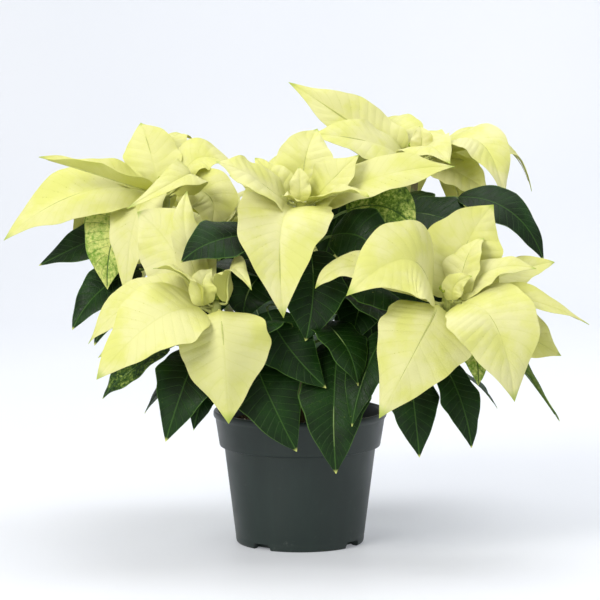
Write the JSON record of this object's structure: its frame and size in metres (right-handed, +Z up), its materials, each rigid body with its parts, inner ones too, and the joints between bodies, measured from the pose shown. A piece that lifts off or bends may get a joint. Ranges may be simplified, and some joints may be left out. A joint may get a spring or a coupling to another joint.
{
  "type": "poinsettia in a nursery pot",
  "caption": "Cream poinsettia with layered bracts and dark green leaves, growing in a round plastic nursery pot that stands on its flat base.",
  "frame": {"origin": "centre of the pot's flat base, where it rests on the surface", "axes": "+Z up, -Y towards the viewer of the picture, +X to that viewer's right"},
  "size_m": [0.5445, 0.4555, 0.4342],
  "materials": {
    "pot_plastic": "satin",
    "peat_soil": "matte",
    "green_foliage": "satin",
    "cream_bract": "satin",
    "green_bud": "satin"
  },
  "bodies": {
    "root": {"pot": "pot_plastic", "soil": "peat_soil", "stem_left": "green_foliage", "stem_centre": "green_foliage", "stem_right": "green_foliage", "stem_front_left": "green_foliage", "stem_front_right": "green_foliage", "stem_back_left": "green_foliage", "stem_back_right": "green_foliage", "bloom_left": "cream_bract", "bloom_centre": "cream_bract", "bloom_right": "cream_bract", "bloom_front_left": "cream_bract", "bloom_front_right": "cream_bract", "bloom_back_left": "cream_bract", "bloom_back_right": "cream_bract", "buds_left": "green_bud", "buds_centre": "green_bud", "buds_right": "green_bud", "buds_front_left": "green_bud", "buds_front_right": "green_bud", "buds_back_left": "green_bud", "buds_back_right": "green_bud"}
  },
  "joints": []
}
